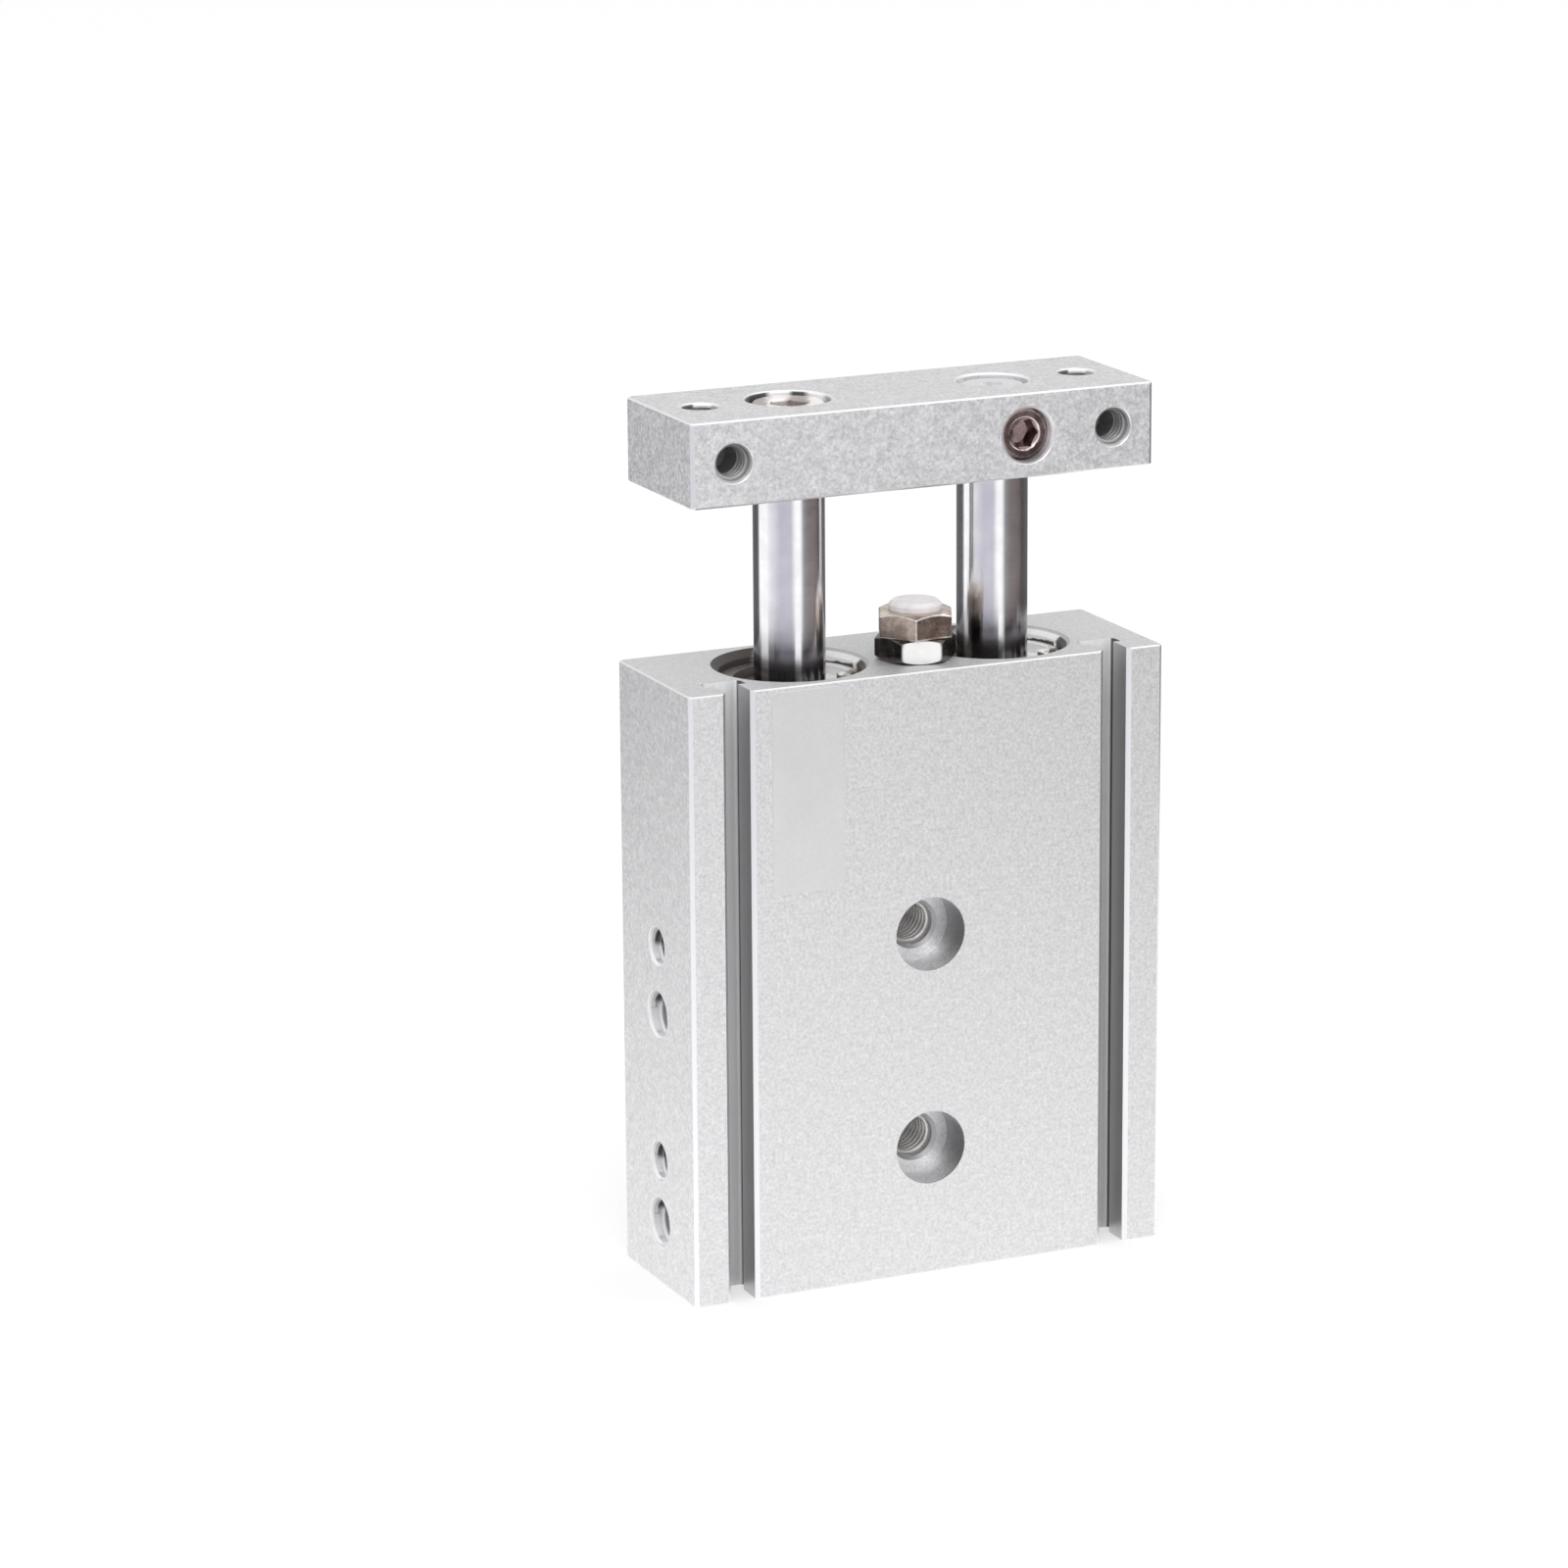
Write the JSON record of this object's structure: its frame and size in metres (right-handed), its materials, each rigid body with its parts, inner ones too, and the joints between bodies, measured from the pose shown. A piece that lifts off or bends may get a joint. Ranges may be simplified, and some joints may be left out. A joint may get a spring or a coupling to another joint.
{
  "type": "guided pneumatic cylinder",
  "caption": "Compact twin-bore, twin-rod pneumatic cylinder: flat aluminium body with sensor grooves, and an end plate on parallel guide rods.",
  "frame": {"origin": "centre of the body's rear face, on which the cylinder stands", "axes": "+Z along the rods towards the end plate, +X along the body's width, +Y from the grooved front face to the back face; rods drawn fully extended"},
  "size_m": [0.058, 0.02, 0.0999],
  "materials": {
    "anodised_body": "sand-blasted, clear anodised",
    "anodised_plate": "sand-blasted, clear anodised",
    "turned_aluminium": "turned, anodised",
    "rod_chrome": "ground, hard chromed",
    "warm_nickel": "zinc-nickel plated, warm toned",
    "bright_nickel": "bright nickel plated",
    "dark_steel": "black oxide",
    "ring_steel": "phosphated spring steel",
    "bush_bronze": "sintered bronze",
    "black_rubber": "nitrile rubber",
    "white_urethane": "translucent white urethane",
    "amber_urethane": "amber urethane",
    "magnet_black": "bonded ferrite"
  },
  "bodies": {
    "housing": {"body": "anodised_body", "stop_nut": "bright_nickel", "port_plugs": "dark_steel", "rod_cover_left": "turned_aluminium", "rod_cover_right": "turned_aluminium", "guide_bush_left": "bush_bronze", "guide_bush_right": "bush_bronze", "rod_cover_oring_left": "black_rubber", "rod_cover_oring_right": "black_rubber", "rod_seal_left": "black_rubber", "rod_seal_right": "black_rubber", "seal_retainer_left": "bright_nickel", "seal_retainer_right": "bright_nickel", "front_clip_left": "ring_steel", "front_clip_right": "ring_steel", "rear_cover_left": "turned_aluminium", "rear_cover_right": "turned_aluminium", "rear_cover_oring_left": "black_rubber", "rear_cover_oring_right": "black_rubber", "rear_bumper_left": "amber_urethane", "rear_bumper_right": "amber_urethane", "rear_clip_left": "ring_steel", "rear_clip_right": "ring_steel"},
    "carriage": {"end_plate": "anodised_plate", "rod_left": "rod_chrome", "rod_right": "rod_chrome", "plate_screw": "warm_nickel", "plate_set_screw": "warm_nickel", "piston_nuts": "bright_nickel", "piston_left": "turned_aluminium", "piston_right": "turned_aluminium", "piston_seal_left": "black_rubber", "piston_seal_right": "black_rubber", "magnet_left": "magnet_black", "magnet_right": "magnet_black", "piston_bumper_left": "amber_urethane", "piston_bumper_right": "amber_urethane"},
    "stop_pad": {"stop_bumper": "white_urethane"},
    "stop_bolt": {"stop_bolt": "warm_nickel"}
  },
  "joints": [
    {"name": "rod_slide", "type": "slide", "parent": "housing", "child": "carriage", "axis": [0, 0, 1], "range_m": [-0.01, 0]},
    {"name": "stop_travel", "type": "slide", "parent": "housing", "child": "stop_pad", "axis": [0, 0, 1], "range_m": [0, 0.0035]},
    {"name": "stop_turn", "type": "hinge", "parent": "stop_pad", "child": "stop_bolt", "pos_m": [0.0013, -0.0034, 0.0728], "axis": [0, 0, 1], "range_deg": [0, 1576]}
  ],
  "couplings": [
    {"joint": "stop_turn", "follows": "stop_travel", "rad_per_m": 7854}
  ]
}
